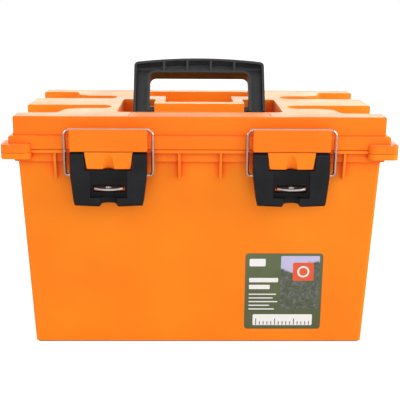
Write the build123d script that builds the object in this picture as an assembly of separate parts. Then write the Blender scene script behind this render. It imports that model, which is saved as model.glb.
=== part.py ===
"""Dry storage box: drafted tub, sealed hinged lid, two over-centre wire latches, folding handle, lift-out tray.

Origin at the centre of the tub's underside, +Z up, the latches on the -Y side. Millimetres.
"""

import os
from math import cos, radians, sin, tan

from build123d import *

# Tub
wall = 3.0  # moulded wall of the tub and the lid
overcut = 5.0  # how far a cutting body stands past what it cuts
draft = 2.4  # degrees of mould draft on the tub walls
tub_width, tub_depth = 433.6, 252.6  # outside, at the parting plane
tub_corner, inner_corner = 5.0, 2.0
underside_edge = 2.0  # bevel round the underside
parting = 251.5  # height of the tub's rim
flange_reach, flange_thick, flange_corner = 8.7, 4.0, 5.0
collar_reach, collar_drop, collar_height = 3.5, 4.0, 11.0
tongue_thick, tongue_height, tongue_inset = 2.4, 4.5, 7.3
ring_corner = 16.0  # the tongue and the seal run round the corners as rings of this radius less their inset
fin_thick, fin_drop, fin_inset = 3.0, 31.5, 0.6
fin_shoulder, fin_toe = 9.0, 4.0  # height of a fin's outer edge, and how far its foot draws in
front_fins_x = (24.5, 171.0)
side_fins_y = (0.0, 62.0)

# Lid
lid_height = 38.5  # from the tub's rim to the lid's top
lid_gap = 0.3
rim_height = 16.0
rim_step = 5.6  # the lid's upper wall stands in from its rim
rim_edge, top_edge, top_corner = 1.8, 1.2, 3.0
parting_edge = 0.7  # bevel of both rims where they meet
seal_inner_rib, seal_skirt, seal_land = 2.5, 3.2, 13.8
seal_roof = 3.4
land_height = 15.5  # height inside the lid from which it is as wide as its upper walls allow
groove_depth = 14.0
groove_near, groove_far, groove_wide = 32.0, 60.0, 99.0  # distances from the lid's middle line
groove_tip, groove_neck_x, groove_wide_x = 111.5, 149.0, 172.0
groove_waist_in, groove_waist_out = 6.0, 9.0  # the waist's place from the neck line and the wide end
groove_bend = 6.0
nameplate_half_width, nameplate_front, nameplate_rear = 84.0, 4.0, 5.0
nameplate_tilt, nameplate_depth = 1.6, 0.3  # drop of the bare panel at its front edge and at its rear edge

# Corner lugs
lug_reach, lug_size, lug_corner = 7.8, 35.0, 8.0
lug_above, lug_below = 6.8, 10.3
lug_step = 3.0  # the front lugs part lower than the rim
lug_bore, lug_bore_inset = 3.0, 5.8

# Hinge
hinge_out = 8.0  # axis behind the rim
knuckle_radius, knuckle_gap = 6.6, 0.4
hinge_pin_radius = 2.5
knuckle_root_drop, knuckle_root_rise = 18.0, 11.0  # how far the knuckles' arms spread down the tub and up the lid
hinge_inset = 91.8  # from the tub's side to the middle of a hinge
knuckle_widths = (22.0, 34.0, 22.0)

# Latches, measured from the rim's front face and the parting plane
latch_inset = 109.8  # from the tub's side to the middle of a latch
running, seated = 0.08, 0.02  # radial clearance of a turning bore, and of a fixed one
catch_width, catch_out, catch_corner, catch_edge = 90.4, 10.0, 2.2, 0.8
catch_drop, catch_lip_top, catch_lip_thick = 0.7, 25.6, 2.0
pivot_out, pivot_drop = 5.3, 6.5
latch_pin_radius, latch_pin_length = 2.0, 88.0
arm_radius = 4.6
boss_top_width, boss_foot_width, boss_drop = 56.0, 51.0, 20.8
boss_gap, boss_corner = 0.4, 2.0
shackle_groove_radius, shackle_groove_tilt, shackle_groove_top = 7.2, 17.0, 4.0
lever_width, lever_chin_width, lever_foot_width, lever_drop = 89.6, 82.2, 79.4, 64.8
lever_front = 17.2  # in front of the rim's face
lever_gap = 1.5  # between the lever's arms and the boss
lever_shoulder, lever_chin = 27.0, 57.5  # drops between which the lever's sides draw in
lever_foot_rise, lever_edge = 1.6, 3.0
lever_back = (-1.5, 24.0), (-1.5, 53.0), (6.0, 60.0), (9.5, 66.0)  # down its rear: (before the rim, below the parting)
lever_notch, lever_notch_rise = 11.5, 3.5
cheek_thick, lever_web, lever_rib = 7.2, 2.6, 2.0
window_width, window_top, window_foot = 43.0, 22.3, 54.3
window_depth, window_side_depth = 9.5, 6.5
neck_radius, neck_out = 10.5, 2.5
hasp_width, hasp_thick, hasp_drop, hasp_out = 34.8, 2.0, 42.5, 24.0
hasp_nose, hasp_nose_corner = 8.0, 3.0
hasp_hole, hasp_hole_inset = 4.0, 8.0
hasp_clearance = 1.2
socket_reach, socket_margin, socket_rib = 4.0, 3.0, 4.5
bail_wire_radius = 1.9
bail_wire_sides = 10  # number of flats round the bent wire, which keep its bends light
bail_width, bail_corner, bail_foot_corner = 103.2, 7.0, 4.5
bail_top_out, bail_top_rise = 4.7, 24.7
bail_foot_out, bail_foot_drop = 3.5, 29.7

# Handle and the recess that it folds into
handle_outer, handle_inner = 85.8, 65.0  # half widths
handle_thick, handle_crown, handle_shoulder, handle_under = 20.0, 70.6, 65.0, 50.0
handle_corner, handle_inner_corner = 6.0, 8.0
handle_lean = 32.0  # degrees that the raised handle leans back onto its stops
handle_pivot_y, handle_pivot_drop = -9.0, 10.0
handle_rim, handle_web = 3.2, 5.0  # edges and back of the open channel in the handle's front
handle_ribs_x, handle_rib_thick = (-46.5, -15.5, 15.5, 46.5), 2.8
trunnion_radius, trunnion_depth, trunnion_root = 5.0, 8.0, 2.0
recess_depth, recess_half_width, recess_corner = 25.0, 101.0, 7.0
recess_front, recess_rear = -92.0, 25.0
bar_half_width, bar_thick, bar_boss = 58.5, 16.0, 14.0
well_depth, well_half_width, well_rear_half_width, well_corner = 18.0, 45.0, 74.0, 12.0
well_step, well_rear = 56.5, 108.0
stop_gap, stop_width, stop_drop = 0.3, 10.0, 9.0

# Tray
tray_clearance, tray_height, tray_wall, tray_below_rim = 4.6, 54.0, 2.2, 4.5
tray_corner, tray_lip, tray_lip_height = 6.0, 1.5, 3.0
partition_drop, spine_inset = 8.0, 78.0  # below the tray's rim, and in from its rear wall
finger_hole, finger_hole_half_width, finger_hole_drop = 9.0, 22.0, 19.0
ledge_reach, ledge_thick, ledge_height = 7.5, 4.0, 40.0
ledges_x, ledges_y = (-140.0, 0.0, 140.0), (-70.0, 70.0)

# Label on the front wall
label_width, label_height, label_thick, label_corner = 96.0, 101.5, 0.3, 4.0
label_x, label_centre = 105.0, 69.0

rim_width, rim_depth = tub_width + 2 * flange_reach, tub_depth + 2 * flange_reach
top_width, top_depth = rim_width - 2 * rim_step, rim_depth - 2 * rim_step
rim_front = -rim_depth / 2
lid_low, rim_top, lid_top = parting + lid_gap, parting + rim_height, parting + lid_height
hinge_y, hinge_z = rim_depth / 2 + hinge_out, parting + lid_gap / 2
hinge_places = (hinge_inset - tub_width / 2, tub_width / 2 - hinge_inset)
latch_places = {"left": latch_inset - tub_width / 2, "right": tub_width / 2 - latch_inset}
handle_pivot_z = lid_top - handle_pivot_drop
pivot_y, pivot_z = rim_front - pivot_out, parting - pivot_drop
bail_foot_y, bail_foot_z = rim_front - bail_foot_out, parting - bail_foot_drop
bail_top_y, bail_top_z = rim_front - bail_top_out, parting + bail_top_rise
hasp_top = parting - hasp_drop + hasp_thick / 2


def slab(width, depth, corner, low, high, x=0.0, y=0.0):
    return extrude(Pos(x, y, low) * RectangleRounded(width, depth, corner), high - low)


def drafted(width, depth, corner, high, low, foot_edge=0.0):
    """A block whose walls draw in by the draft from its top down, with a bevel round its foot."""

    def outline(size):
        half, less = size / 2, (high - low) * tan(radians(draft))
        return [(half, high), (half - less, low), (less - half, low), (-half, high)]

    made = prism_x(outline(depth), -width, width) & prism_y(outline(width), -depth, depth)
    made = fillet([edge for edge in made.edges() if abs((edge % 0.5).Z) > 0.5], corner)
    if foot_edge:
        made = chamfer(made.faces().sort_by(Axis.Z)[0].edges(), foot_edge)
    return made


def rim_ring(outer, inner, low, high):
    """A ring that follows the rim, between two insets from its outline."""
    return slab(
        rim_width - 2 * outer, rim_depth - 2 * outer, ring_corner - outer, low, high
    ) - slab(rim_width - 2 * inner, rim_depth - 2 * inner, ring_corner - inner, low - 1, high + 1)


def block(x_range, y_range, z_range):
    sizes = [high - low for low, high in (x_range, y_range, z_range)]
    low_corner = Pos(x_range[0], y_range[0], z_range[0])
    return low_corner * Box(*sizes, align=(Align.MIN, Align.MIN, Align.MIN))


def prism_x(points, x_low, x_high):
    """An outline of (y, z) points pulled along X."""
    face = make_face(Polyline(*[(x_low, y, z) for y, z in points], close=True))
    return extrude(face, x_high - x_low, dir=(1, 0, 0))


def prism_y(points, y_low, y_high):
    """An outline of (x, z) points pulled along Y."""
    face = make_face(Polyline(*[(x, y_low, z) for x, z in points], close=True))
    return extrude(face, y_high - y_low, dir=(0, 1, 0))


def rod_x(radius, x_low, x_high, y, z):
    middle = Pos((x_low + x_high) / 2, y, z)
    return middle * Rot(0, 90, 0) * Cylinder(radius, x_high - x_low)


def draw_in(height):
    """How far the drafted wall stands in from its place at the parting plane."""
    return (parting - height) * tan(radians(draft))


# Corner lugs and hinge knuckles, shared by the tub and the lid


def corner_lugs(end, low, high):
    """The two square lugs round the rim's corners at the front, end -1, or the rear, end 1."""
    lugs = Part()
    for side in (-1, 1):
        x = side * (rim_width / 2 + lug_reach - lug_size / 2)
        y = end * (rim_depth / 2 + lug_reach - lug_size / 2)
        lugs += slab(lug_size, lug_size, lug_corner, low, high, x, y)
    return lugs


def lug_bores(low, high):
    bores = Part()
    for side in (-1, 1):
        for end in (-1, 1):
            x = side * (rim_width / 2 + lug_reach - lug_bore_inset)
            y = end * (rim_depth / 2 + lug_reach - lug_bore_inset)
            bores += Pos(x, y, (low + high) / 2) * Cylinder(lug_bore, high - low)
    return bores


def knuckle_spans(place):
    """(low x, high x) of each knuckle of one hinge, from the tub's first to the tub's last."""
    spans, x = [], place - (sum(knuckle_widths) + knuckle_gap * (len(knuckle_widths) - 1)) / 2
    for width in knuckle_widths:
        spans.append((x, x + width))
        x += width + knuckle_gap
    return spans


def knuckles(first, bore_clearance, arm_low, arm_high, root_low, root_high):
    """Every second knuckle from the first, each on an arm from the rim's rear face."""
    made = Part()
    rear = rim_depth / 2
    for place in hinge_places:
        for x_low, x_high in knuckle_spans(place)[first::2]:
            arm = [
                (rear - 1.0, root_low),
                (hinge_y, arm_low),
                (hinge_y, arm_high),
                (rear - 1.0, root_high),
            ]
            knuckle = rod_x(knuckle_radius, x_low, x_high, hinge_y, hinge_z) + prism_x(arm, x_low, x_high)
            made += knuckle - rod_x(hinge_pin_radius + bore_clearance, x_low - 1, x_high + 1, hinge_y, hinge_z)
    return made


# Tub


def fins():
    """Gussets between the rim flange and the tub walls."""
    low = parting - flange_thick - fin_drop
    made = Part()

    def fin(reach):
        edge, foot = reach + flange_reach - fin_inset, reach - draw_in(low) - wall / 3
        top = parting - flange_thick
        return [(-edge, top), (-edge, top - fin_shoulder), (-edge + fin_toe, low), (-foot, low), (-foot, top)]

    for x in front_fins_x:
        for side in (-1, 1):
            for turn in (0, 180):
                rib = prism_x(fin(tub_depth / 2), side * x - fin_thick / 2, side * x + fin_thick / 2)
                made += Rot(0, 0, turn) * rib
    for y in side_fins_y:
        for side in {-1, 1} if y else {1}:
            for turn in (90, -90):
                middle = side * y
                made += Rot(0, 0, turn) * prism_x(
                    fin(tub_width / 2), middle - fin_thick / 2, middle + fin_thick / 2
                )
    return made


def latch_boss(x):
    """The block between a lever's arms, with a scoop for a padlock's shackle down its face."""
    face, top, foot = rim_front - catch_out, parting - catch_drop - boss_gap, parting - boss_drop
    inside = -tub_depth / 2 + wall / 2
    half_top, half_foot = boss_top_width / 2, boss_foot_width / 2
    outline = [(x - half_top, top), (x + half_top, top), (x + half_foot, foot), (x - half_foot, foot)]
    boss = prism_y(outline, face, inside)
    boss = fillet(boss.edges().filter_by(Axis.Y).sort_by(Axis.Z)[:2], boss_corner)
    tall = 3 * boss_drop
    scoop = Pos(x, face - shackle_groove_radius, parting - shackle_groove_top) * Rot(shackle_groove_tilt, 0, 0)
    scoop *= Pos(0, 0, -tall / 2) * Cylinder(shackle_groove_radius, tall)
    bore = rod_x(latch_pin_radius + seated, x - half_top - 1, x + half_top + 1, pivot_y, pivot_z)
    return boss - scoop - bore


def hasp_socket(x):
    """Ribbed pocket on the tub wall that the hasp plate is pressed into."""
    half = hasp_width / 2 + socket_margin
    low, high = hasp_top - hasp_thick - socket_rib, hasp_top + socket_rib
    face = -tub_depth / 2 + draw_in(low)
    front, root = face - socket_reach, face + wall / 2
    outline = [(front, low), (front, high), (root, high + socket_reach), (root, low - socket_reach)]
    return prism_x(outline, x - half, x + half)


def hasp_plate(x, name):
    """Stainless tongue with a rounded end and a padlock hole."""
    tip = rim_front - hasp_out
    root = -tub_depth / 2 + draw_in(hasp_top) + wall / 2
    half, shoulder = hasp_width / 2, tip + hasp_nose
    edge = Polyline((x - half, shoulder), (x - half, root), (x + half, root), (x + half, shoulder))
    nose = ThreePointArc((x + half, shoulder), (x, tip), (x - half, shoulder))
    plate = extrude(Pos(0, 0, hasp_top - hasp_thick) * make_face(edge + nose), hasp_thick)
    plate = fillet(plate.edges().filter_by(Axis.Z).sort_by(Axis.Y)[:2], hasp_nose_corner)
    plate -= Pos(x, tip + hasp_hole_inset, hasp_top) * Cylinder(hasp_hole, 4 * hasp_thick)
    plate.label = name
    return plate


def tray_ledges():
    """Ribs inside the tub walls whose tops carry the tray."""
    top = parting - tray_below_rim - tray_height
    made = Part()

    def rib(reach):
        inner = reach - draw_in(top) - wall - ledge_reach
        low = top - ledge_height
        foot = reach - draw_in(low) - wall
        outer = reach - draw_in(top) - wall / 2
        return [(-outer, top), (-inner, top), (-foot, low), (-foot - wall / 2, low)]

    for x in ledges_x:
        for turn in (0, 180):
            made += Rot(0, 0, turn) * prism_x(rib(tub_depth / 2), x - ledge_thick / 2, x + ledge_thick / 2)
    for y in ledges_y:
        for turn in (90, -90):
            made += Rot(0, 0, turn) * prism_x(rib(tub_width / 2), y - ledge_thick / 2, y + ledge_thick / 2)
    return made


def base_shell():
    shell = drafted(tub_width, tub_depth, tub_corner, parting, 0, underside_edge)
    collar_top = parting - collar_drop
    shell += slab(
        tub_width + 2 * collar_reach, tub_depth + 2 * collar_reach, tub_corner,
        collar_top - collar_height, collar_top,
    )
    flange = slab(rim_width, rim_depth, flange_corner, parting - flange_thick, parting)
    shell += chamfer(flange.faces().sort_by(Axis.Z)[-1].edges(), parting_edge)
    shell += corner_lugs(-1, parting - lug_below, parting - lug_step)
    shell += corner_lugs(1, parting - lug_below, parting)
    shell += fins()
    for x in latch_places.values():
        shell += latch_boss(x)
        shell += hasp_socket(x)
    shell -= drafted(tub_width - 2 * wall, tub_depth - 2 * wall, inner_corner, parting, wall)
    shell += rim_ring(
        tongue_inset - tongue_thick / 2, tongue_inset + tongue_thick / 2, parting - 1, parting + tongue_height
    )
    shell += tray_ledges()
    root_low = parting - knuckle_root_drop
    shell += knuckles(0, seated, hinge_z - knuckle_radius, hinge_z - 1.0, root_low, parting - 1.0)
    shell -= lug_bores(parting - lug_below - 1, parting + 1)
    for x in latch_places.values():
        shell -= hasp_plate(x, "")
    shell.label = "base_shell"
    return shell


# Lid


def groove_outline():
    """Corners of the front right groove in plan: a slot that widens to the front near the lid's side."""
    side = top_width / 2 + rim_step
    step, waist = (groove_wide_x, -groove_wide), (groove_wide_x - groove_waist_in, -groove_far - groove_waist_out)
    corners = [
        (groove_tip, -groove_near), (side, -groove_near), (side, -groove_wide), step, waist,
        (groove_neck_x, -groove_far), (groove_tip, -groove_far),
    ]
    return make_face(Polyline(*corners, close=True)), step, waist


def grooves(grow, low):
    """The four side grooves as solids from a level up through the lid's top. Only the ungrown ones are rounded."""
    plan, step, waist = groove_outline()
    if grow:
        plan = offset(plan, grow, kind=Kind.INTERSECTION)
    else:
        bends = [plan.vertices().sort_by_distance((*corner, 0))[0] for corner in (step, waist)]
        plan = fillet(bends, groove_bend)
        tip = plan.vertices().sort_by(Axis.X)[:2]
        plan = fillet(tip, (groove_far - groove_near) / 2 - 0.1)
    one = extrude(Pos(0, 0, low) * plan, lid_top + overcut - low)
    right = one + mirror(one, Plane.XZ)
    return right + mirror(right, Plane.YZ)


def handle_recess(grow, low):
    """The U-shaped pocket that the folded handle lies in, round the pivot bar."""
    depth = recess_rear - recess_front
    high = lid_top + overcut
    outer = slab(
        2 * (recess_half_width + grow), depth + 2 * grow, recess_corner, low, high,
        0, (recess_front + recess_rear) / 2,
    )
    bar_front = handle_pivot_y - bar_thick / 2
    keep = bar_half_width - grow
    return outer - block((-keep, keep), (bar_front + grow, recess_rear + grow + 1), (low - 1, high + 1))


def rear_well(grow, low):
    high = lid_top + overcut
    bar_rear = handle_pivot_y + bar_thick / 2
    neck_half, wide_half = well_half_width + grow, well_rear_half_width + grow
    neck = block((-neck_half, neck_half), (bar_rear - grow, well_step + overcut), (low, high))
    wide_low = well_step - grow
    wide = slab(
        2 * wide_half, well_rear + grow - wide_low, well_corner, low, high,
        0, (well_rear + grow + wide_low) / 2,
    )
    return neck + wide


def nameplate():
    """Shallow bare panel that tips forward in the front strip of the lid's top."""
    front, rear = -top_depth / 2 + nameplate_front, recess_front - nameplate_rear
    above = lid_top + 1
    outline = [(front, lid_top - nameplate_tilt), (rear, lid_top - nameplate_depth), (rear, above), (front, above)]
    return prism_x(outline, -nameplate_half_width, nameplate_half_width)


def catch_block(x):
    """Block on the lid's front with a groove behind its lip, which the bail wire hooks into."""
    half, face = catch_width / 2, rim_front - catch_out
    low, lip = parting - catch_drop, parting + catch_lip_top
    body = block((x - half, x + half), (face, -top_depth / 2 + wall / 2), (low, lip))
    body = fillet(body.edges().filter_by(Axis.Y), catch_corner)
    body = chamfer(body.faces().sort_by(Axis.Y)[0].edges(), catch_edge)
    floor = bail_top_z - bail_wire_radius - lid_gap
    groove = block(
        (x - half - 1, x + half + 1), (face + catch_lip_thick, -top_depth / 2 + wall), (floor, lip + 1)
    )
    core = block(
        (x - half + wall, x + half - wall), (face + wall, rim_front - wall / 2), (low - 1, floor - wall)
    )
    clear = 2 * lid_gap
    tub_rim = slab(rim_width + clear, rim_depth + clear, flange_corner, low - 1, lid_low)
    return body - groove - core - tub_rim


def handle_stops():
    """Ramps behind the legs that the raised handle leans back onto."""
    lean = radians(handle_lean)
    half = handle_thick / 2 + stop_gap
    low, high = lid_top - recess_depth - 1, lid_top - stop_drop

    def face_y(height):
        along = (height - handle_pivot_z + half * sin(lean)) / cos(lean)
        return handle_pivot_y + along * sin(lean) + half * cos(lean)

    knee = handle_pivot_z - half * sin(lean)
    outline = [
        (face_y(high), high), (recess_rear + 1, high), (recess_rear + 1, low),
        (face_y(knee), low), (face_y(knee), knee),
    ]
    middle = (handle_inner + handle_outer) / 2
    made = Part()
    for side in (-1, 1):
        made += prism_x(outline, side * middle - stop_width / 2, side * middle + stop_width / 2)
    return made


def lid_shell():
    upper = slab(top_width, top_depth, top_corner, rim_top - 2, lid_top)
    upper = chamfer(upper.faces().sort_by(Axis.Z)[-1].edges(), top_edge)
    rim = slab(rim_width, rim_depth, flange_corner, lid_low, rim_top)
    rim = chamfer(rim.faces().sort_by(Axis.Z)[0].edges(), parting_edge)
    outer = upper + chamfer(rim.faces().sort_by(Axis.Z)[-1].edges(), rim_edge)
    front_lugs = corner_lugs(-1, lid_low - lug_step, lid_low + lug_above)
    clear = 2 * lid_gap
    outer += front_lugs - slab(rim_width + clear, rim_depth + clear, flange_corner, lid_low - lug_step - 1, lid_low)
    outer += corner_lugs(1, lid_low, lid_low + lug_above)
    for x in latch_places.values():
        outer += catch_block(x)
    groove_floor, recess_floor = lid_top - groove_depth, lid_top - recess_depth
    well_floor = lid_top - well_depth
    outer -= grooves(0, groove_floor)
    outer -= handle_recess(0, recess_floor)
    outer -= rear_well(0, well_floor)
    outer -= nameplate()

    land = lid_low + land_height
    hollow = slab(top_width - 2 * wall, top_depth - 2 * wall, inner_corner, land, lid_top - wall)
    hollow += slab(
        rim_width - 2 * seal_land, rim_depth - 2 * seal_land, ring_corner - seal_land, lid_low - overcut, land + 0.1
    )
    hollow -= grooves(wall, groove_floor - wall)
    hollow -= handle_recess(wall, recess_floor - wall)
    hollow -= rear_well(wall, well_floor - wall)
    plate_half = nameplate_half_width + 2 * wall
    hollow -= block((-plate_half, plate_half), (-top_depth / 2, recess_front), (lid_top - 2 * wall, lid_top))
    bar_front, bar_rear = handle_pivot_y - bar_thick / 2, handle_pivot_y + bar_thick / 2
    for side in (-1, 1):
        near, far = sorted((side * (bar_half_width - bar_boss), side * bar_half_width))
        hollow -= block((near, far), (bar_front, bar_rear), (recess_floor - wall, lid_top))
    shell = outer - hollow
    shell -= rim_ring(seal_skirt, seal_land - seal_inner_rib, lid_low - 1, land - seal_roof)
    shell += handle_stops()
    for side in (-1, 1):
        near = side * (bar_half_width - trunnion_depth - 0.5)
        low, high = sorted((near, side * (bar_half_width + 0.5)))
        shell -= rod_x(trunnion_radius + running, low, high, handle_pivot_y, handle_pivot_z)
    root_high = lid_low + knuckle_root_rise
    shell += knuckles(1, running, hinge_z + 0.5, hinge_z + knuckle_radius, lid_low, root_high)
    shell -= lug_bores(lid_low - lug_step - 1, lid_low + lug_above + 1)
    shell.label = "lid_shell"
    return shell


def lid_gasket():
    """The seal, which the tub's tongue presses up against the roof of its channel."""
    gasket = rim_ring(
        seal_skirt, seal_land - seal_inner_rib, parting + tongue_height + lid_gap, lid_low + land_height - seal_roof
    )
    gasket.label = "lid_gasket"
    return gasket


# Latches


def latch_lever(x, name):
    """Moulded lever: two arms on the pivot pin, a window round the hasp plate, and a finger edge at the foot."""
    half = lever_width / 2
    inner_top, inner_foot = boss_top_width / 2 + lever_gap, boss_foot_width / 2 + lever_gap
    right = [
        (inner_foot, -window_top), (inner_top, -catch_drop), (half, -catch_drop), (half, -lever_shoulder),
        (lever_chin_width / 2, -lever_chin), (lever_foot_width / 2, lever_foot_rise - lever_drop),
        (lever_notch, -lever_drop),
        (lever_notch - lever_notch_rise, lever_notch_rise - lever_drop),
    ]
    outline = [(x + px, parting + pz) for px, pz in right]
    outline += [(x - px, parting + pz) for px, pz in reversed(right)]
    front, rear = rim_front - lever_front, rim_front - lever_back[0][0]
    lever = prism_y(outline, front, rear)

    foot = parting - lever_drop
    side = [(pivot_y - arm_radius, pivot_z), (front, foot + lever_edge), (front + lever_edge, foot - 1.0)]
    side += [(rim_front - out, parting - drop) for out, drop in reversed(lever_back)]
    side.append((pivot_y + arm_radius, pivot_z))
    profile = prism_x(side, x - half - 1, x + half + 1)
    lever &= profile + rod_x(arm_radius, x - half - 1, x + half + 1, pivot_y, pivot_z)

    slot_half = hasp_width / 2 + hasp_clearance
    sweep = ((pivot_y - rim_front + hasp_out) ** 2 + (hasp_top - hasp_thick - pivot_z) ** 2) ** 0.5
    slot_low, slot_high = pivot_z - sweep - hasp_clearance, hasp_top + hasp_clearance
    web = front + window_depth + lever_web
    pocket_low, pocket_high = foot + 2 * lever_rib, parting - window_top + lever_rib
    lever -= block((x - slot_half, x + slot_half), (web, rear + 1), (slot_low, pocket_high))
    for side_x in (-1, 1):
        near, far = sorted((x + side_x * (slot_half + lever_rib), x + side_x * (half - cheek_thick)))
        lever -= block((near, far), (web, rear + 1), (pocket_low, pocket_high))

    window_half, bulge = window_width / 2, window_depth - window_side_depth
    curve = (window_half**2 + bulge**2) / (2 * bulge)
    window = block(
        (x - window_half, x + window_half), (front - 1, rear), (parting - window_foot, parting - window_top + 1.0)
    )
    lever -= window & (Pos(x, front + window_depth - curve, parting - window_foot) * Cylinder(curve, 2 * lever_drop))
    lever -= block((x - slot_half, x + slot_half), (front - 1, rear + 1), (slot_low, slot_high))
    lever -= Pos(x, front - neck_out, foot) * Cylinder(neck_radius, 2 * (lever_drop - window_foot + 2))
    lever -= rod_x(latch_pin_radius + running, x - half + 0.5, x + half - 0.5, pivot_y, pivot_z)
    for side_x in (-1, 1):
        low, high = sorted((x + side_x * (half - cheek_thick - 0.5), x + side_x * (half + 1)))
        lever -= rod_x(bail_wire_radius + running, low, high, bail_foot_y, bail_foot_z)
    lever.label = name
    return lever


def bail_wire(x, name):
    """Bent wire: a crossbar over the catch and two sides, with round feet that turn in the lever's cheeks."""
    up = Vector(0, bail_top_y - bail_foot_y, bail_top_z - bail_foot_z)
    across = Vector(1, 0, 0)
    plane = Plane(origin=(x, bail_foot_y, bail_foot_z), x_dir=across, z_dir=across.cross(up))
    half, rise = bail_width / 2, up.length
    cheek, foot = lever_width / 2 + 0.5, lever_width / 2 - cheek_thick + 0.5
    path = plane * FilletPolyline(
        (-cheek, 0), (-half, 0), (-half, rise), (half, rise), (half, 0), (cheek, 0),
        radius=(bail_foot_corner, bail_corner, bail_corner, bail_foot_corner),
    )
    start = Plane(origin=path @ 0, z_dir=path % 0)
    wire = sweep(start * RegularPolygon(bail_wire_radius, bail_wire_sides), path=path)
    for side in (-1, 1):
        low, high = sorted((x + side * foot, x + side * cheek))
        wire += rod_x(bail_wire_radius, low, high, bail_foot_y, bail_foot_z)
    wire.label = name
    return wire


def latch_pin(x, name):
    half = latch_pin_length / 2
    pin = rod_x(latch_pin_radius, x - half, x + half, pivot_y, pivot_z)
    pin.label = name
    return pin


# Handle, tray and the small parts


def grip_outline(inset):
    """The handle's front outline, drawn in by an inset, with its crowned top."""
    half, shoulder = handle_outer - inset, handle_shoulder - inset
    low = inset - handle_thick / 2
    sides = Polyline((half, shoulder), (half, low), (-half, low), (-half, shoulder))
    crown = ThreePointArc((-half, shoulder), (0, handle_crown - inset), (half, shoulder))
    return make_face(sides + crown)


def grip_opening(grow):
    """The space for the hand, and the gap between the legs under it."""
    half = handle_inner + grow
    opening = block((-half, half), (-handle_thick, handle_thick), (-handle_thick, handle_under + grow))
    return fillet(opening.edges().filter_by(Axis.Y).sort_by(Axis.Z)[-2:], handle_inner_corner + grow)


def carry_handle():
    """U grip with a ribbed open channel in its front, leaning back about its trunnions."""
    radius = handle_thick / 2
    body = extrude(Plane.XZ.offset(-radius) * grip_outline(0), handle_thick)
    body = fillet(body.edges().filter_by(Axis.Y).sort_by(Axis.Z)[-2:], handle_corner)
    body -= grip_opening(0)
    wide, tall = 2 * handle_outer, 2 * handle_crown
    body &= block((-wide, wide), (-radius, radius), (0, tall)) + rod_x(radius, -wide, wide, 0, 0)
    channel = extrude(Plane.XZ.offset(handle_web - radius) * grip_outline(handle_rim), handle_thick)
    channel -= grip_opening(handle_rim)
    for x in handle_ribs_x:
        rib = handle_rib_thick / 2
        channel -= block((x - rib, x + rib), (-wide, wide), (0, tall))
    body -= channel
    for side in (-1, 1):
        low, high = sorted((side * (bar_half_width - trunnion_depth), side * (handle_inner + trunnion_root)))
        body += rod_x(trunnion_radius, low, high, 0, 0)
    body = Pos(0, handle_pivot_y, handle_pivot_z) * Rot(-handle_lean, 0, 0) * body
    body.label = "carry_handle"
    return body


def lift_out_tray():
    """Shallow tray with moulded partitions and a finger hole in each end wall."""
    top = parting - tray_below_rim
    low = top - tray_height
    width, depth = (size - 2 * (wall + tray_clearance) for size in (tub_width, tub_depth))
    tray = drafted(width, depth, tray_corner, top, low)
    tray += slab(width + 2 * tray_lip, depth + 2 * tray_lip, tray_corner, top - tray_lip_height, top)
    inside = drafted(
        width - 2 * tray_wall, depth - 2 * tray_wall, tray_corner - tray_wall, top, low + tray_wall
    )
    spine, rib, partition_top = depth / 2 - spine_inset, tray_wall / 2, top - partition_drop
    partitions = block((-width, width), (spine - rib, spine + rib), (low, partition_top))
    for x in (-width / 6, width / 6):
        partitions += block((x - rib, x + rib), (spine, depth), (low, partition_top))
    partitions += block((-rib, rib), (-depth, spine), (low, partition_top))
    tray -= inside - partitions
    hole_z, hole_half = top - finger_hole_drop, finger_hole_half_width
    holes = block((-width, width), (-hole_half, hole_half), (hole_z - finger_hole, hole_z + finger_hole))
    for y in (-hole_half, hole_half):
        holes += rod_x(finger_hole, -width, width, y, hole_z)
    tray -= holes - block((2 * finger_hole - width / 2, width / 2 - 2 * finger_hole), (-depth, depth), (0, parting))
    tray.label = "lift_out_tray"
    return tray


def hinge_pin(place, name):
    spans = knuckle_spans(place)
    pin = rod_x(hinge_pin_radius, spans[0][0] + 0.5, spans[-1][1] - 0.5, hinge_y, hinge_z)
    pin.label = name
    return pin


def front_label():
    """Thin bare sheet on the drafted front wall."""
    normal_y = -tub_depth / 2 + draw_in(label_centre)
    face = Plane(
        origin=(label_x, normal_y, label_centre), x_dir=(1, 0, 0),
        z_dir=(0, -cos(radians(draft)), -sin(radians(draft))),
    )
    label = extrude(face * RectangleRounded(label_width, label_height, label_corner), label_thick)
    label.label = "front_label"
    return label


pieces = [base_shell(), lid_shell(), lid_gasket(), carry_handle(), lift_out_tray(), front_label()]
for side_name, place in latch_places.items():
    pieces.append(latch_lever(place, f"latch_lever_{side_name}"))
    pieces.append(bail_wire(place, f"bail_wire_{side_name}"))
    pieces.append(latch_pin(place, f"latch_pin_{side_name}"))
    pieces.append(hasp_plate(place, f"hasp_plate_{side_name}"))
for side_name, place in zip(("left", "right"), hinge_places):
    pieces.append(hinge_pin(place, f"hinge_pin_{side_name}"))

os.makedirs("parts", exist_ok=True)
for piece in pieces:
    export_step(piece, f"parts/{piece.label}.step")
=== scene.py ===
"""A marine dry box for fishing tackle: materials, printed label and studio."""

from math import radians

import bpy
from bpy.props import FloatProperty, FloatVectorProperty, IntProperty, PointerProperty
from mathutils import Matrix, Vector


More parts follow.
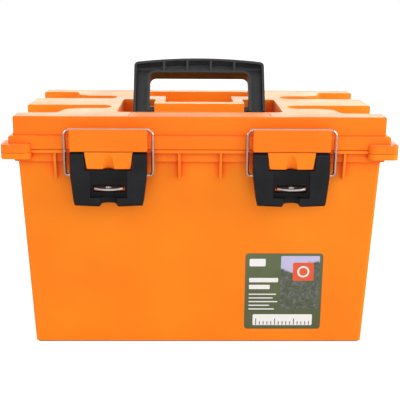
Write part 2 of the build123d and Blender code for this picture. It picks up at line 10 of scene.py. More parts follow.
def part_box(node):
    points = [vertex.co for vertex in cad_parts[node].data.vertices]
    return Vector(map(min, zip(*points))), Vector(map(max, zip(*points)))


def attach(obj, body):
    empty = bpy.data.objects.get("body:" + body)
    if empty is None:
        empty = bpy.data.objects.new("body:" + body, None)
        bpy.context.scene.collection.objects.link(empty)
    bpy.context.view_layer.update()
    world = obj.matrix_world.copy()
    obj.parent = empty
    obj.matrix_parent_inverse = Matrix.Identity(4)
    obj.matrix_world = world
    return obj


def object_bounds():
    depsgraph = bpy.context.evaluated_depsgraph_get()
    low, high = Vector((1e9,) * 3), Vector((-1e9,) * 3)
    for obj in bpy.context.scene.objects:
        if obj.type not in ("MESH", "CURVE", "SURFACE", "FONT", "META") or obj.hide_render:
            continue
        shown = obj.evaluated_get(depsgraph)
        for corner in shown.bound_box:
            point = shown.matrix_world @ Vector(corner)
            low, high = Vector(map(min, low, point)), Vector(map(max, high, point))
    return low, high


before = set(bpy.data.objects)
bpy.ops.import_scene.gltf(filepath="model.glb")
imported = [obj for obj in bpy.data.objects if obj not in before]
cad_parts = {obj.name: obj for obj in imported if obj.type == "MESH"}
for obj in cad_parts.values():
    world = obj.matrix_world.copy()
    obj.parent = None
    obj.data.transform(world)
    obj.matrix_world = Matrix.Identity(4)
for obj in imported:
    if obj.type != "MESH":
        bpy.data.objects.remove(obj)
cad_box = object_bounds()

bl_info = {
    "name": "Marine Dry Box",
    "version": (1, 0, 0),
    "blender": (4, 5, 0),
    "location": "View3D > Sidebar > Dry Box",
    "description": "Finishes a packed marine dry box: plastics, steel, label and studio",
    "category": "Object",
}

SHELL_NODES = ("base_shell", "lift_out_tray")
LID_NODES = ("lid_shell",)
HANDLE_NODES = ("carry_handle",)
LEVER_NODES = ("latch_lever_left", "latch_lever_right")
WIRE_NODES = ("bail_wire_left", "bail_wire_right")
PLATE_NODES = ("hasp_plate_left", "hasp_plate_right")
PIN_NODES = ("latch_pin_left", "latch_pin_right", "hinge_pin_left", "hinge_pin_right")
SEAL_NODES = ("lid_gasket",)
LABEL_NODES = ("front_label",)

# Where the plastic's colour changes. Each pair is where a change begins and where it is complete, in metres.
FOOT_RISE = (0.006, 0.030)  # above the floor: the painted shade that deepens corners begins
PAINTED_SHEEN_HALF = (0.100, 0.116)  # front and rear of the lid's middle: the painted sheen, a yellower colour, fades out
POCKET_NEAR = (0.068, 0.098)  # sideways from the lid's middle: painted shade reddens the pockets beside the handle's legs
POCKET_FAR = (0.1012, 0.1020)  # sideways from the lid's middle: the pockets end
POCKET_DROP = (0.001, 0.006)  # below the lid's top: painted shade reddens the pockets
# How strongly the painted shade reddens the pockets.
POCKET_STRENGTH = 0.80
GRIP_HOLLOW = (0.3275, 0.3295)  # above the floor: the hollow in the front of the raised grip, where painted light begins

# The label's lines: widths, height of the first one above the label's middle, step down, thickness and corner radius.
HEADING_LINES = ((0.036, 0.026), 0.0155, 0.0092, 0.0058, 0.0008)
SMALL_LINES = ((0.034, 0.030, 0.036, 0.026, 0.032), -0.0035, 0.0050, 0.0015, 0.0004)

# Place and size of each lamp, in metres. Its power is the studio setting of the same name.
LAMPS = {
    "overhead": ((0.0, 0.05, 1.45), (1.7, 1.3)),
    "key": ((0.10, -1.40, 1.40), (2.2, 0.9)),
    "front": ((0.05, -1.75, 0.58), (2.4, 1.0)),
    "left": ((-1.50, -0.45, 0.75), (1.0, 1.0)),
    "right": ((1.50, -0.45, 0.75), (1.0, 1.0)),
    "rear": ((0.0, 1.60, 0.80), (2.2, 0.8)),
}

# The floor, in metres. Its own light grows between the two strengths, over the reach out from under the box.
FLOOR_SIZE = 14
FLOOR_PLACE = (0, 3, -0.0006)
GLOW_REACH = (0.8, 2.6)
GLOW_STRENGTH = (0.70, 0.95)


# ---------------------------------------------------------------- sizes and colours


def colour(name, description, default):
    return FloatVectorProperty(
        name=name, description=description, default=default, subtype="COLOR", size=3, min=0, max=1
    )


def length(name, description, default):
    return FloatProperty(
        name=name, description=description, default=default, subtype="DISTANCE", unit="LENGTH", precision=5
    )


def pair(name, description, default):
    return FloatVectorProperty(
        name=name, description=description, default=default, subtype="XYZ_LENGTH", unit="LENGTH", size=2
    )


def share(name, description, default):
    return FloatProperty(
        name=name, description=description, default=default, subtype="FACTOR", min=0, max=1
    )


def power(name, description, default):
    return FloatProperty(name=name, description=description, default=default, subtype="POWER")


def angle(name, description, default):
    return FloatProperty(
        name=name, description=description, default=default, subtype="ANGLE", unit="ROTATION"
    )


class PlasticSettings(bpy.types.PropertyGroup):
    """Colours and surface of the moulded plastics."""

    shell: colour("Shell", "Bright orange of the tub and tray", (1.0, 0.252, 0.0072))
    shell_deep: colour("Shell, deep", "Redder orange where the pigment is thicker", (0.97, 0.207, 0.0052))
    lid: colour("Lid", "Slightly redder orange of the lid's own moulding", (1.0, 0.214, 0.006))
    lid_deep: colour("Lid, deep", "The lid's colour where the pigment is thicker", (0.97, 0.180, 0.004))
    # Painted sheen: a yellower colour painted on the lid's middle, standing in for the pale haze of light on its top
    # and groove walls.
    lid_painted_sheen: colour("Lid, faded", "The yellower colour of the lid's sun-bleached middle", (1.0, 0.300, 0.016))
    # Painted shade: the deep red orange painted into corners and the space under overhangs, standing in for the shade
    # there.
    crevice_shade: colour("Crevice", "Deep red orange that the plastic turns to in corners", (0.93, 0.095, 0.003))
    # Painted shade: the dark colour painted inside narrow gaps, standing in for the shade there.
    gap: colour("Gap", "Dark colour inside narrow gaps", (0.33, 0.020, 0.001))
    bloom: colour("Bloom", "Colour of the satin grain's haze", (1.0, 0.80, 0.52))
    black: colour("Black", "Colour of the handle and the latch levers", (0.0088, 0.0088, 0.0100))
    # Painted light: a paler grey painted in the grip's hollow, standing in for the light that reaches it.
    painted_grip_light: colour("Dust", "Grey dust in the hollow front of the grip", (0.070, 0.074, 0.082))
    foam: colour("Foam", "Colour of the sealing strip", (0.030, 0.030, 0.032))
    shell_roughness: share("Shell roughness", "Average roughness of the orange plastic", 0.42)
    shell_gloss: share("Shell gloss", "Strength of the orange plastic's reflections", 0.18)
    shell_bloom: share("Shell bloom", "Haze of the satin grain at grazing angles", 0.26)
    drift: length("Drift", "Size of the slow drifts of pigment", 0.12)
    fleck: length("Fleck", "Size of the fine flecks of pigment", 0.0022)
    # Painted shade: how far from corners the tub's and the lid's colour begin to be painted deeper.
    tub_shade_reach: length("Tub crevice", "How far from the tub's corners its colour begins to deepen", 0.014)
    lid_shade_reach: length("Lid crevice", "How far from the lid's corners its colour begins to deepen", 0.0025)
    # Painted light: how far from the grip's corners the paler grey begins.
    grip_light_reach: length("Dust reach", "How far from the grip's corners the dust begins", 0.016)
    black_roughness: share("Black roughness", "Average roughness of the black plastic", 0.38)
    handle_gloss: share("Handle gloss", "Strength of the handle's reflections", 0.40)
    lever_gloss: share("Lever gloss", "Strength of the levers' reflections", 0.09)
    grain: length("Grain", "Size of the fine texture that the mould leaves", 0.0006)
    grain_depth: length("Grain depth", "Height of that texture", 0.00003)
    soft_edge: length("Soft edge", "Radius to which sharp edges are rounded in shading", 0.0009)
    foam_cell: length("Foam cell", "Size of the foam's cells", 0.0007)


class SteelSettings(bpy.types.PropertyGroup):
    """Colours and surface of the metal fittings."""

    wire: colour("Wire", "Colour of the sprung bail wire", (0.50, 0.32, 0.26))
    plate: colour("Plate", "Colour of the stainless hasp plate", (0.50, 0.49, 0.47))
    pin: colour("Pin", "Colour of the darkened pins", (0.055, 0.050, 0.048))
    wire_roughness: share("Wire roughness", "Roughness of the drawn wire", 0.16)
    plate_roughness: share("Plate roughness", "Roughness of the brushed plate", 0.26)
    brush: length("Brush", "Width of the finest brushing line", 0.00025)


class LabelSettings(bpy.types.PropertyGroup):
    """Sizes and colours of the printed label, which carries plain shapes and no words."""

    ground: colour("Ground", "Olive ground of the sheet", (0.110, 0.140, 0.060))
    ground_deep: colour("Ground, deep", "Darker olive that the ground fades to", (0.068, 0.095, 0.038))
    sky: colour("Sky", "Pale lilac at the top of the picture field", (0.53, 0.50, 0.72))
    hills: colour("Hills", "Green of the picture field", (0.075, 0.120, 0.045))
    rock: colour("Rock", "Grey of the stones in the picture field", (0.205, 0.200, 0.215))
    hollow: colour("Hollow", "Dark between the stones and the growth", (0.045, 0.050, 0.040))
    tile: colour("Tile", "Warm red of the square tile", (0.78, 0.095, 0.025))
    white: colour("White", "White ink", (0.86, 0.86, 0.84))
    ink: colour("Ink", "Dark ink of the strip's marks", (0.075, 0.070, 0.090))
    film: length("Film", "Thickness of one printed layer", 0.00005)
    corner: length("Corner", "Corner radius of the printed shapes", 0.0016)
    text_margin: length("Text margin", "Bare edge left of the lines and the badge", 0.005)
    picture_width: share("Picture width", "Share of the label's width that the picture takes", 0.50)
    picture_height: share("Picture height", "Share of the label's height that the picture takes", 0.70)
    picture_margin: length("Picture margin", "Bare edge right of the picture", 0.004)
    picture_rise: length("Picture rise", "From the label's middle up to the picture's middle", 0.012)
    strip_width: share("Strip width", "Share of the label's width that the measuring strip takes", 0.78)
    strip_height: length("Strip height", "Height of the measuring strip", 0.015)
    strip_rise: length("Strip rise", "From the label's foot up to the strip's middle", 0.0125)
    strip_margin: length("Strip margin", "Bare ends of the strip beside its marks", 0.004)
    tile_size: pair("Tile size", "Width and height of the tile on the picture", (0.026, 0.024))
    tile_shift: length("Tile shift", "From the picture's middle across to the tile's middle", 0.004)
    tile_drop: length("Tile drop", "From the label's top down to the tile's middle", 0.024)
    badge_size: pair("Badge size", "Width and height of the blank badge", (0.020, 0.010))
    badge_drop: length("Badge drop", "From the label's top down to the badge's middle", 0.012)
    ring_radius: length("Ring radius", "Outer radius of the ring on the tile", 0.0075)
    ring_width: length("Ring width", "Width of that ring's line", 0.0022)
    tick_width: length("Tick width", "Width of the strip's marks", 0.0011)
    tick_heights: pair("Tick heights", "Height of every fifth mark and of the others", (0.0085, 0.0048))
    tick_foot: length("Tick foot", "From the strip's middle down to the marks' feet", 0.0068)
    tick_count: IntProperty(name="Tick count", description="How many marks the strip has", default=15, min=2)


class StudioSettings(bpy.types.PropertyGroup):
    """Camera, lamps and floor."""

    camera_place: FloatVectorProperty(
        name="Camera place",
        description="Where the camera stands",
        default=(-0.0127, -1.0930, 0.4387),
        subtype="TRANSLATION",
        unit="LENGTH",
        size=3,
    )
    camera_pitch: angle("Pitch", "How far the camera looks down", 0.2529)
    camera_heading: angle("Heading", "How far the camera turns to the side", -0.0134)
    camera_roll: angle("Roll", "How far the camera leans", 0.006)
    lens: FloatProperty(
        name="Lens", description="Focal length", default=74.7, unit="CAMERA", subtype="DISTANCE_CAMERA"
    )
    overhead: power("Overhead", "Power of the large lamp above", 2.0)
    key: power("Key", "Power of the lamp high in front", 7.5)
    front: power("Front", "Power of the lamp beside the camera", 10.0)
    left: power("Left", "Power of the lamp on the left", 7.0)
    right: power("Right", "Power of the lamp on the right", 18.0)
    rear: power("Rear", "Power of the lamp behind", 15.0)
    fill: share("Fill", "Strength of the even light from all round", 0.24)


# ---------------------------------------------------------------- material helpers


class NodeSheet:
    """A material's node tree with short calls to add and join nodes."""

    def __init__(self, name):
        self.material = bpy.data.materials.new(name)
        self.material.use_nodes = True
        self.tree = self.material.node_tree
        self.shader = self.tree.nodes["Principled BSDF"]
        self.place = self.add("TexCoord").outputs["Object"]

    def add(self, kind, **settings):
        """A node of that kind. Settings are its own attributes."""
        new = self.tree.nodes.new("ShaderNode" + kind)
        for key, value in settings.items():
            setattr(new, key, value)
        return new

    def join(self, source, target):
        """A link from an output to an input."""
        self.tree.links.new(source, target)

    def noise(self, size, detail=2.0, stretch=None, roughness=0.5):
        """Noise whose features are about that size, in metres."""
        node = self.add("TexNoise")
        node.inputs["Scale"].default_value = 1 / size
        node.inputs["Detail"].default_value = detail
        node.inputs["Roughness"].default_value = roughness
        self.join(self.stretched(stretch) if stretch else self.place, node.inputs["Vector"])
        return node.outputs["Fac"]

    def stretched(self, factors):
        """Object coordinates scaled along each axis."""
        mapping = self.add("Mapping")
        mapping.inputs["Scale"].default_value = factors
        self.join(self.place, mapping.inputs["Vector"])
        return mapping.outputs["Vector"]

    def range(self, value, low, high, to_low, to_high):
        """The value taken from one range to another, and clamped there."""
        node = self.add("MapRange")
        for socket, number in zip(node.inputs[1:5], (low, high, to_low, to_high)):
            socket.default_value = number
        self.join(value, node.inputs[0])
        return node.outputs[0]

    def blend(self, amount, first, second):
        """A colour between two colours or sockets."""
        node = self.add("Mix", data_type="RGBA")
        self.join(amount, node.inputs[0])
        for socket, given in ((node.inputs[6], first), (node.inputs[7], second)):
            if isinstance(given, bpy.types.NodeSocket):
                self.join(given, socket)
            else:
                socket.default_value = (*given, 1.0)
        return node.outputs[2]

    def math(self, operation, first, second=None):
        """One sum on sockets or numbers."""
        node = self.add("Math", operation=operation)
        for socket, given in zip(node.inputs, (first, second)):
            if isinstance(given, bpy.types.NodeSocket):
                self.join(given, socket)
            elif given is not None:
                socket.default_value = given
        return node.outputs[0]

    def product(self, *factors):
        """All the factors multiplied."""
        result = factors[0]
        for factor in factors[1:]:
            result = self.math("MULTIPLY", result, factor)
        return result

    def axes(self):
        """The object coordinates as separate X, Y and Z."""
        split = self.add("SeparateXYZ")
        self.join(self.place, split.inputs[0])
        return split.outputs

    def openness(self, reach):
        """How open the surface is: 1 on open faces, less in corners nearer than the reach."""
        node = self.add("AmbientOcclusion", samples=8)
        node.inputs["Distance"].default_value = reach
        return node.outputs["AO"]

    def paint(self, tint):
        """The shader's colour comes from this socket."""
        self.join(tint, self.shader.inputs["Base Color"])

    def gloss(self, value, low, high):
        """Roughness that drifts between low and high with the value."""
        self.join(self.range(value, 0.3, 0.7, low, high), self.shader.inputs["Roughness"])

    def set(self, **values):
        """Plain values on the shader's own sockets, such as IOR=1.5."""
        for key, value in values.items():
            self.shader.inputs[key.replace("_", " ")].default_value = value

    def relief(self, height, depth, soft_edge=None):
        """Bump of that depth, on edges rounded to soft_edge."""
        bump = self.add("Bump")
        bump.inputs["Strength"].default_value = 1.0
        bump.inputs["Distance"].default_value = depth
        self.join(height, bump.inputs["Height"])
        if soft_edge:
            edge = self.add("Bevel", samples=6)
            edge.inputs["Radius"].default_value = soft_edge
            self.join(edge.outputs["Normal"], bump.inputs["Normal"])
        self.join(bump.outputs["Normal"], self.shader.inputs["Normal"])


def cover(material, nodes):
    """Every slot of these CAD nodes gets the material."""
    for name in nodes:
        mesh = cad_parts[name].data
        for index in range(len(mesh.materials)):
            mesh.materials[index] = material


# ---------------------------------------------------------------- materials


def shell_plastic(settings, name, tint, deep, reach, shifted_tint=None):
    """Bright orange polypropylene: spark-eroded grain, slow drifts of pigment and satin gloss, with painted shade
    deepening its corners and darkening narrow gaps.
    """
    sheet = NodeSheet(name)
    pigment = sheet.range(sheet.noise(settings.drift, detail=3), 0.35, 0.70, 0.0, 0.85)
    fleck = sheet.range(sheet.noise(settings.fleck, detail=1), 0.62, 0.80, 0.0, 0.25)
    drifting = sheet.blend(pigment, tuple(tint), tuple(deep))
    base = sheet.blend(fleck, drifting, tuple(deep))
    # The lid gets painted sheen on its middle and painted shade in its pockets.
    if shifted_tint is not None:
        base = sheened_and_shaded(sheet, base, tuple(shifted_tint), tuple(settings.crevice_shade))
    # Painted shade: ambient occlusion paints corners and the space under overhangs a deep red orange, except near the
    # floor.
    openness = sheet.openness(reach)
    closed_in = sheet.range(openness, 0.45, 0.92, 1.0, 0.0)
    above_foot = sheet.range(sheet.axes()["Z"], *FOOT_RISE, 0.0, 1.0)
    # Painted shade: narrow gaps are painted near-black red.
    narrow = sheet.range(openness, 0.10, 0.40, 1.0, 0.0)
    cornered = sheet.blend(sheet.product(closed_in, above_foot), base, tuple(settings.crevice_shade))
    sheet.paint(sheet.blend(narrow, cornered, tuple(settings.gap)))
    roughness = settings.shell_roughness
    sheet.gloss(sheet.noise(0.03, detail=4), roughness - 0.05, roughness + 0.06)
    sheet.relief(sheet.noise(settings.grain, detail=2), settings.grain_depth, settings.soft_edge)
    sheet.set(IOR=1.49, Specular_IOR_Level=settings.shell_gloss)
    sheet.set(Sheen_Weight=settings.shell_bloom, Sheen_Roughness=0.35, Sheen_Tint=(*settings.bloom, 1.0))
    return sheet.material


def sheened_and_shaded(sheet, base, shifted_tint, crevice_shade):
    """The lid's colour: painted sheen makes its middle yellower, and painted shade reddens the two pockets beside the
    handle's legs.
    """
    place = sheet.axes()
    across, depth = (sheet.math("ABSOLUTE", place[axis]) for axis in "XY")
    lid_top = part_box("lid_shell")[1].z
    shallow, deep = (lid_top - drop for drop in POCKET_DROP)
    middle = sheet.range(depth, *PAINTED_SHEEN_HALF, 1.0, 0.0)
    near = sheet.range(across, *POCKET_NEAR, 0.0, 1.0)
    far = sheet.range(across, *POCKET_FAR, 1.0, 0.0)
    sunk = sheet.range(place["Z"], deep, shallow, POCKET_STRENGTH, 0.0)
    # Painted sheen: the lid's middle is painted yellower, standing in for the haze of light on its top and groove
    # walls.
    yellower = sheet.blend(middle, base, shifted_tint)
    # Painted shade: the sunk pockets beside the handle's legs are painted the deep red orange of the corners.
    return sheet.blend(sheet.product(middle, near, far, sunk), yellower, crevice_shade)


def black_plastic(settings, name, shine):
    """Glass-filled black nylon: fine grain, a soft sheen, and painted light, a paler grey, in the shaded hollow of
    the grip.
    """
    sheet = NodeSheet(name)
    worn = tuple(2.1 * c for c in settings.black)
    rub = sheet.range(sheet.noise(0.02, detail=5), 0.45, 0.75, 0.0, 0.6)
    rubbed = sheet.blend(rub, tuple(settings.black), worn)
    # Painted light: the occluded hollow of the grip is painted a paler grey.
    in_grip = sheet.range(sheet.axes()["Z"], *GRIP_HOLLOW, 0.0, 1.0)
    closed_in = sheet.range(sheet.openness(settings.grip_light_reach), 0.40, 0.92, 1.0, 0.0)
    sheet.paint(sheet.blend(sheet.product(closed_in, in_grip), rubbed, tuple(settings.painted_grip_light)))
    roughness = settings.black_roughness
    sheet.gloss(sheet.noise(0.012, detail=4), roughness - 0.06, roughness + 0.08)
    sheet.relief(sheet.noise(0.8 * settings.grain, detail=2), 1.3 * settings.grain_depth, settings.soft_edge)
    sheet.set(IOR=1.53, Specular_IOR_Level=shine)
    return sheet.material


def seal_foam(settings):
    """Closed-cell foam of the seal."""
    sheet = NodeSheet("seal_foam")
    cells = sheet.add("TexVoronoi", feature="F1")
    cells.inputs["Scale"].default_value = 1 / settings.foam_cell
    sheet.join(sheet.place, cells.inputs["Vector"])
    pore = sheet.range(cells.outputs["Distance"], 0.0, 0.5, 0.0, 1.0)
    pale = tuple(2.2 * c for c in settings.foam)
    sheet.paint(sheet.blend(pore, tuple(settings.foam), pale))
    sheet.relief(cells.outputs["Distance"], 0.0001)
    sheet.set(Roughness=0.85)
    return sheet.material


def steel(name, tint, roughness, brush, along):
    """Bare steel with fine lines along one axis and faint clouding."""
    sheet = NodeSheet(name)
    lines = sheet.noise(brush, detail=2, stretch=along)
    cloud = sheet.range(sheet.noise(0.015, detail=3), 0.4, 0.75, 0.0, 0.5)
    darker = tuple(0.72 * c for c in tint)
    sheet.paint(sheet.blend(cloud, tuple(tint), darker))
    sheet.gloss(lines, roughness - 0.06, roughness + 0.10)
    sheet.relief(lines, 0.00001, 0.0003)
    sheet.set(Metallic=1.0)
    return sheet.material


def ink(name, tint):
    """Printed ink under a clear film, with the faint mottle of offset printing."""
    sheet = NodeSheet(name)
    dots = sheet.range(sheet.noise(0.0005, detail=1), 0.4, 0.7, 0.0, 0.35)
    shifted_tint = tuple(0.86 * c for c in tint)
    sheet.paint(sheet.blend(dots, tuple(tint), shifted_tint))
    sheet.relief(sheet.noise(0.004, detail=2), 0.00002)
    sheet.set(Roughness=0.32, IOR=1.48)
    return sheet.material


def label_ground(settings, low, high):
    """Olive sheet that darkens toward its foot, with a faint mottle."""
    sheet = NodeSheet("label_sheet")
    fade = sheet.range(sheet.axes()["Z"], low.z, high.z, 1.0, 0.0)
    cloud = sheet.range(sheet.noise(0.02, detail=4), 0.3, 0.7, -0.25, 0.25)
    amount = sheet.math("ADD", fade, cloud)
    sheet.paint(sheet.blend(amount, tuple(settings.ground), tuple(settings.ground_deep)))
    sheet.relief(sheet.noise(0.005, detail=2), 0.00003)
    sheet.set(Roughness=0.34, IOR=1.48)
    return sheet.material


def label_hills(settings, low, high):
    """Generic shore picture: pale sky, then broken bands of growth and stone."""
    sheet = NodeSheet("label_picture")
    height = sheet.range(sheet.axes()["Z"], low.z, high.z, 0.0, 1.0)
    ridge = sheet.range(sheet.noise(0.030, detail=2), 0.3, 0.7, -0.10, 0.10)
    sky = sheet.range(sheet.math("ADD", height, ridge), 0.80, 0.83, 0.0, 1.0)
    boulders = sheet.noise(0.012, detail=8, stretch=(1.5, 1.0, 1.0), roughness=0.75)
    stone = sheet.range(boulders, 0.42, 0.62, 0.0, 1.0)
    shade = sheet.range(sheet.noise(0.0030, detail=6, roughness=0.7), 0.38, 0.62, 0.0, 0.85)
    ground = sheet.blend(stone, tuple(settings.hills), tuple(settings.rock))
    rough_ground = sheet.blend(shade, ground, tuple(settings.hollow))
    sheet.paint(sheet.blend(sky, rough_ground, tuple(settings.sky)))
    sheet.relief(sheet.noise(0.005, detail=2), 0.00003)
    sheet.set(Roughness=0.32, IOR=1.48)
    return sheet.material


# ---------------------------------------------------------------- modelling helpers


def start_clean():
    """Nothing is selected or active."""
    if bpy.context.object and bpy.context.object.mode != "OBJECT":
        bpy.ops.object.mode_set(mode="OBJECT")
    bpy.ops.object.select_all(action="DESELECT")
    bpy.context.view_layer.objects.active = None


def select_only(*objects):
    """Only these are selected, and the first is active."""
    start_clean()
    for one in objects:
        one.select_set(True)
    bpy.context.view_layer.objects.active = objects[0]


def settle(piece, name, body, material, smooth=30):
    """Names a finished piece, bakes its place into its mesh and fixes it to its body."""
    select_only(piece)
    bpy.ops.object.transform_apply(location=True, rotation=True, scale=True)
    bpy.ops.object.shade_smooth_by_angle(angle=radians(smooth))
    piece.name = name
    piece.data.name = name
    piece.data.materials.clear()
    piece.data.materials.append(material)
    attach(piece, body)
    return piece


def joined(pieces):
    """The pieces as one object."""
    select_only(*pieces)
    if len(pieces) > 1:
        bpy.ops.object.join()
    return bpy.context.object


class LabelFace:
    """The front plane of the label: u runs along X from its middle, v up the sloping sheet."""

    def __init__(self):
        (node,) = LABEL_NODES
        self.low, self.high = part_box(node)
        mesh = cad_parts[node].data
        front = max(mesh.polygons, key=lambda face: -face.normal.y * face.area)
        self.normal = front.normal.copy()
        self.right = Vector((1, 0, 0))
        self.up = self.normal.cross(self.right).normalized()
        middle = (self.low + self.high) / 2
        offset = (mesh.vertices[front.vertices[0]].co - middle).dot(self.normal)
        self.centre = middle + offset * self.normal
        self.width = self.high.x - self.low.x
        self.height = (self.high.z - self.low.z) / abs(self.up.z)

    def turn(self):
        """Rotation that lays a flat XY shape on the sheet."""
        return Matrix((self.right, self.up, self.normal)).transposed().to_4x4()

    def place(self, u, v, lift=0.0):
        return self.centre + u * self.right + v * self.up + lift * self.normal


def lay_print(face, u, v, layer, film):
    """The flat shape in edit mode gets a film's thickness and is laid on the label, centred at (u, v)."""
    bpy.ops.mesh.select_all(action="SELECT")
    bpy.ops.mesh.extrude_region_move(TRANSFORM_OT_translate={"value": (0, 0, 0.8 * film)})
    bpy.ops.mesh.select_all(action="SELECT")
    bpy.ops.mesh.normals_make_consistent(inside=False)
    bpy.ops.object.mode_set(mode="OBJECT")
    shape = bpy.context.object
    shape.matrix_world = Matrix.Translation(face.place(u, v, layer * film + 0.2 * film)) @ face.turn()
    return shape


def patch(face, u, v, width, height, layer, settings, corner=None):
    """One printed shape: a thin rounded rectangle on the given layer."""
    start_clean()
    bpy.ops.mesh.primitive_plane_add(size=1, location=(0, 0, 0))
    bpy.context.object.scale = (width, height, 1)
    bpy.ops.object.transform_apply(scale=True)
    radius = min(settings.corner if corner is None else corner, 0.49 * min(width, height))
    bpy.ops.object.mode_set(mode="EDIT")
    bpy.ops.mesh.select_all(action="SELECT")
    if radius > 0:
        bpy.ops.mesh.bevel(offset=radius, segments=4, affect="VERTICES")
    return lay_print(face, u, v, layer, settings.film)


def ring(face, u, v, layer, settings):
    """A thin printed ring."""
    start_clean()
    bpy.ops.mesh.primitive_circle_add(vertices=40, radius=settings.ring_radius, fill_type="NGON")
    bpy.ops.object.mode_set(mode="EDIT")
    bpy.ops.mesh.select_all(action="SELECT")
    bpy.ops.mesh.inset(thickness=settings.ring_width)
    bpy.ops.mesh.delete(type="FACE")
    return lay_print(face, u, v, layer, settings.film)


# ---------------------------------------------------------------- operators


class DRYBOX_OT_shells(bpy.types.Operator):
    """Give the tub, lid and tray their orange plastic"""

    bl_idname = "drybox.shells"
    bl_label = "Shells"

    def execute(self, context):
        plastic = context.scene.drybox_plastic
        tub = shell_plastic(plastic, "tub_polypropylene", plastic.shell, plastic.shell_deep, plastic.tub_shade_reach)
        lid = shell_plastic(
            plastic, "lid_polypropylene", plastic.lid, plastic.lid_deep, plastic.lid_shade_reach, plastic.lid_painted_sheen
        )
        cover(tub, SHELL_NODES)
        cover(lid, LID_NODES)
        return {"FINISHED"}


class DRYBOX_OT_black_parts(bpy.types.Operator):
    """Give the handle and the latch levers their black plastic"""

    bl_idname = "drybox.black_parts"
    bl_label = "Handle and levers"

    def execute(self, context):
        plastic = context.scene.drybox_plastic
        cover(black_plastic(plastic, "handle_nylon", plastic.handle_gloss), HANDLE_NODES)
        cover(black_plastic(plastic, "lever_nylon", plastic.lever_gloss), LEVER_NODES)
        return {"FINISHED"}


class DRYBOX_OT_seal(bpy.types.Operator):
    """Give the sealing strip its foam"""

    bl_idname = "drybox.seal"
    bl_label = "Seal"

    def execute(self, context):
        cover(seal_foam(context.scene.drybox_plastic), SEAL_NODES)
        return {"FINISHED"}


class DRYBOX_OT_steel(bpy.types.Operator):
    """Give the wires, pins and hasp plates their steel"""

    bl_idname = "drybox.steel"
    bl_label = "Steel fittings"

    def execute(self, context):
        metal = context.scene.drybox_steel
        wire = steel("drawn_wire", metal.wire, metal.wire_roughness, metal.brush, (1.0, 1.0, 0.15))
        plate = steel("brushed_plate", metal.plate, metal.plate_roughness, metal.brush, (0.03, 1.0, 1.0))
        pins = steel("darkened_pins", metal.pin, metal.plate_roughness, metal.brush, (1.0, 0.2, 1.0))
        cover(wire, WIRE_NODES)
        cover(plate, PLATE_NODES)
        cover(pins, PIN_NODES)
        return {"FINISHED"}


class DRYBOX_OT_label(bpy.types.Operator):
    """Print the label: a shore picture, a tile, plain lines and a measuring strip"""

    bl_idname = "drybox.label"
    bl_label = "Label"

    def execute(self, context):
        settings = context.scene.drybox_label
        face = LabelFace()
        cover(label_ground(settings, face.low, face.high), LABEL_NODES)
        white = ink("white_ink", settings.white)
        half, top = face.width / 2, face.height / 2

        width, height = settings.picture_width * face.width, settings.picture_height * face.height
        picture_u = half - width / 2 - settings.picture_margin
        picture = patch(face, picture_u, settings.picture_rise, width, height, 1, settings)
        self.printed("label_picture", [picture], label_hills(settings, face.low, face.high))

        tile_u, tile_v = picture_u + settings.tile_shift, top - settings.tile_drop
        tile = patch(face, tile_u, tile_v, *settings.tile_size, 2, settings)
        self.printed("label_tile", [tile], ink("warm_red_ink", settings.tile))
        self.printed("label_ring", [ring(face, tile_u, tile_v, 3, settings)], white)

        left = -half + settings.text_margin
        width, height = settings.badge_size
        lines = [patch(face, left + width / 2, top - settings.badge_drop, width, height, 1, settings)]
        for widths, first, step, thick, corner in (HEADING_LINES, SMALL_LINES):
            for index, wide in enumerate(widths):
                v = first - step * index
                lines.append(patch(face, left + wide / 2, v, wide, thick, 1, settings, corner))
        self.printed("label_lines", lines, white)

        strip_width, strip_v = settings.strip_width * face.width, -top + settings.strip_rise
        strip = patch(face, 0.0, strip_v, strip_width, settings.strip_height, 1, settings)
        self.printed("label_strip", [strip], white)
        long, short = settings.tick_heights
        ticks = []
        for index in range(settings.tick_count):
            u = (index / (settings.tick_count - 1) - 0.5) * (strip_width - 2 * settings.strip_margin)
            tall = long if index % 5 == 0 else short
            v = strip_v - settings.tick_foot + tall / 2
            ticks.append(patch(face, u, v, settings.tick_width, tall, 2, settings, corner=0))
        self.printed("label_ticks", ticks, ink("dark_ink", settings.ink))
        return {"FINISHED"}

    @staticmethod
    def printed(name, shapes, material):
        """The shapes become one printed piece, fixed to the tub."""
        settle(joined(shapes), name, "tub", material)


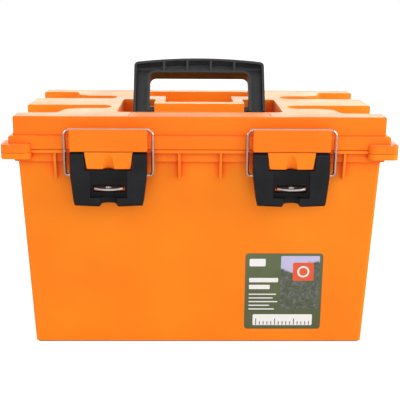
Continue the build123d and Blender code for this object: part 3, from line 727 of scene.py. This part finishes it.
class DRYBOX_OT_studio(bpy.types.Operator):
    """Set up the floor, the soft lamps, the white surroundings and the camera"""

    bl_idname = "drybox.studio"
    bl_label = "Studio"

    def execute(self, context):
        studio = context.scene.drybox_studio
        self.floor()
        self.surroundings(studio.fill)
        middle = sum((Vector(corner) for corner in cad_box), Vector()) / 2
        for name, (place, size) in LAMPS.items():
            self.lamp(name, place, middle, size, getattr(studio, name))
        self.camera(context, studio)
        context.scene.view_settings.view_transform = "Standard"
        return {"FINISHED"}

    @staticmethod
    def floor():
        """A wide pale floor that shows white where it is lit and keeps the shadow."""
        start_clean()
        bpy.ops.mesh.primitive_plane_add(size=FLOOR_SIZE, location=FLOOR_PLACE)
        floor = bpy.context.object
        bpy.ops.object.transform_apply(location=True)
        floor.name = "floor"
        sheet = NodeSheet("pale_floor")
        sheet.set(Base_Color=(0.82, 0.82, 0.82, 1), Roughness=0.9, Specular_IOR_Level=0.1)
        distance = sheet.add("VectorMath", operation="LENGTH")
        sheet.join(sheet.place, distance.inputs[0])
        glow = sheet.add("Emission")
        strength = sheet.range(distance.outputs["Value"], *GLOW_REACH, *GLOW_STRENGTH)
        seen = sheet.add("LightPath").outputs["Is Camera Ray"]
        sheet.join(sheet.product(seen, strength), glow.inputs["Strength"])
        both = sheet.add("AddShader")
        sheet.join(sheet.shader.outputs[0], both.inputs[0])
        sheet.join(glow.outputs[0], both.inputs[1])
        sheet.join(both.outputs[0], sheet.tree.nodes["Material Output"].inputs["Surface"])
        floor.data.materials.append(sheet.material)

    @staticmethod
    def surroundings(fill):
        """An even pale world for light, and plain white for the eye, for gloss and through glass."""
        world = bpy.data.worlds.new("studio_world")
        bpy.context.scene.world = world
        world.use_nodes = True
        tree = world.node_tree
        tree.nodes.clear()
        ray = tree.nodes.new("ShaderNodeLightPath")
        seen = ray.outputs["Is Camera Ray"]
        for kind in ("Is Glossy Ray", "Is Transmission Ray"):
            total = tree.nodes.new("ShaderNodeMath")
            total.operation = "ADD"
            total.use_clamp = True
            tree.links.new(seen, total.inputs[0])
            tree.links.new(ray.outputs[kind], total.inputs[1])
            seen = total.outputs[0]
        mix = tree.nodes.new("ShaderNodeMixShader")
        tree.links.new(seen, mix.inputs[0])
        for socket, strength in zip(mix.inputs[1:3], (fill, 1.0)):
            light = tree.nodes.new("ShaderNodeBackground")
            light.inputs["Color"].default_value = (1, 1, 1, 1)
            light.inputs["Strength"].default_value = strength
            tree.links.new(light.outputs[0], socket)
        output = tree.nodes.new("ShaderNodeOutputWorld")
        tree.links.new(mix.outputs[0], output.inputs["Surface"])

    @staticmethod
    def lamp(name, place, target, size, power):
        """A rectangular soft lamp that faces the target and isn't seen itself."""
        start_clean()
        bpy.ops.object.light_add(type="AREA", location=place)
        lamp = bpy.context.object
        lamp.name = name + "_lamp"
        lamp.data.shape = "RECTANGLE"
        lamp.data.size, lamp.data.size_y = size
        lamp.data.energy = power
        lamp.rotation_euler = (Vector(target) - Vector(place)).to_track_quat("-Z", "Y").to_euler()
        lamp.visible_camera = False

    @staticmethod
    def camera(context, studio):
        """The camera, turned by its heading, pitch and roll."""
        start_clean()
        bpy.ops.object.camera_add(location=studio.camera_place)
        camera = bpy.context.object
        heading = Matrix.Rotation(studio.camera_heading, 4, "Z")
        pitch = Matrix.Rotation(radians(90) - studio.camera_pitch, 4, "X")
        roll = Matrix.Rotation(studio.camera_roll, 4, "Z")
        camera.matrix_world = Matrix.Translation(studio.camera_place) @ heading @ pitch @ roll
        camera.data.sensor_width = 36
        camera.data.lens = studio.lens
        camera.data.clip_start = 0.05
        context.scene.camera = camera


class DRYBOX_PT_panel(bpy.types.Panel):
    """Buttons and settings of the dry box"""

    bl_idname = "DRYBOX_PT_panel"
    bl_label = "Dry Box"
    bl_space_type = "VIEW_3D"
    bl_region_type = "UI"
    bl_category = "Dry Box"

    def draw(self, context):
        layout = self.layout
        for title, group, operators in SECTIONS:
            box = layout.box()
            box.label(text=title)
            settings = getattr(context.scene, group)
            for key in settings.bl_rna.properties.keys():
                if key not in ("rna_type", "name"):
                    box.prop(settings, key)
            for operator in operators:
                box.operator(operator.bl_idname)


GROUPS = {
    "drybox_plastic": PlasticSettings,
    "drybox_steel": SteelSettings,
    "drybox_label": LabelSettings,
    "drybox_studio": StudioSettings,
}
SECTIONS = (
    ("Plastic", "drybox_plastic", (DRYBOX_OT_shells, DRYBOX_OT_black_parts, DRYBOX_OT_seal)),
    ("Steel", "drybox_steel", (DRYBOX_OT_steel,)),
    ("Label", "drybox_label", (DRYBOX_OT_label,)),
    ("Studio", "drybox_studio", (DRYBOX_OT_studio,)),
)


def register():
    for name, group in GROUPS.items():
        bpy.utils.register_class(group)
        setattr(bpy.types.Scene, name, PointerProperty(type=group))
    for _, _, operators in SECTIONS:
        for operator in operators:
            bpy.utils.register_class(operator)
    bpy.utils.register_class(DRYBOX_PT_panel)


def unregister():
    bpy.utils.unregister_class(DRYBOX_PT_panel)
    for _, _, operators in SECTIONS:
        for operator in operators:
            bpy.utils.unregister_class(operator)
    for name, group in GROUPS.items():
        delattr(bpy.types.Scene, name)
        bpy.utils.unregister_class(group)


def main():
    register()
    bpy.ops.drybox.shells()
    bpy.ops.drybox.black_parts()
    bpy.ops.drybox.seal()
    bpy.ops.drybox.steel()
    bpy.ops.drybox.label()
    bpy.ops.drybox.studio()
    bpy.context.view_layer.update()


if __name__ == "__main__":
    main()
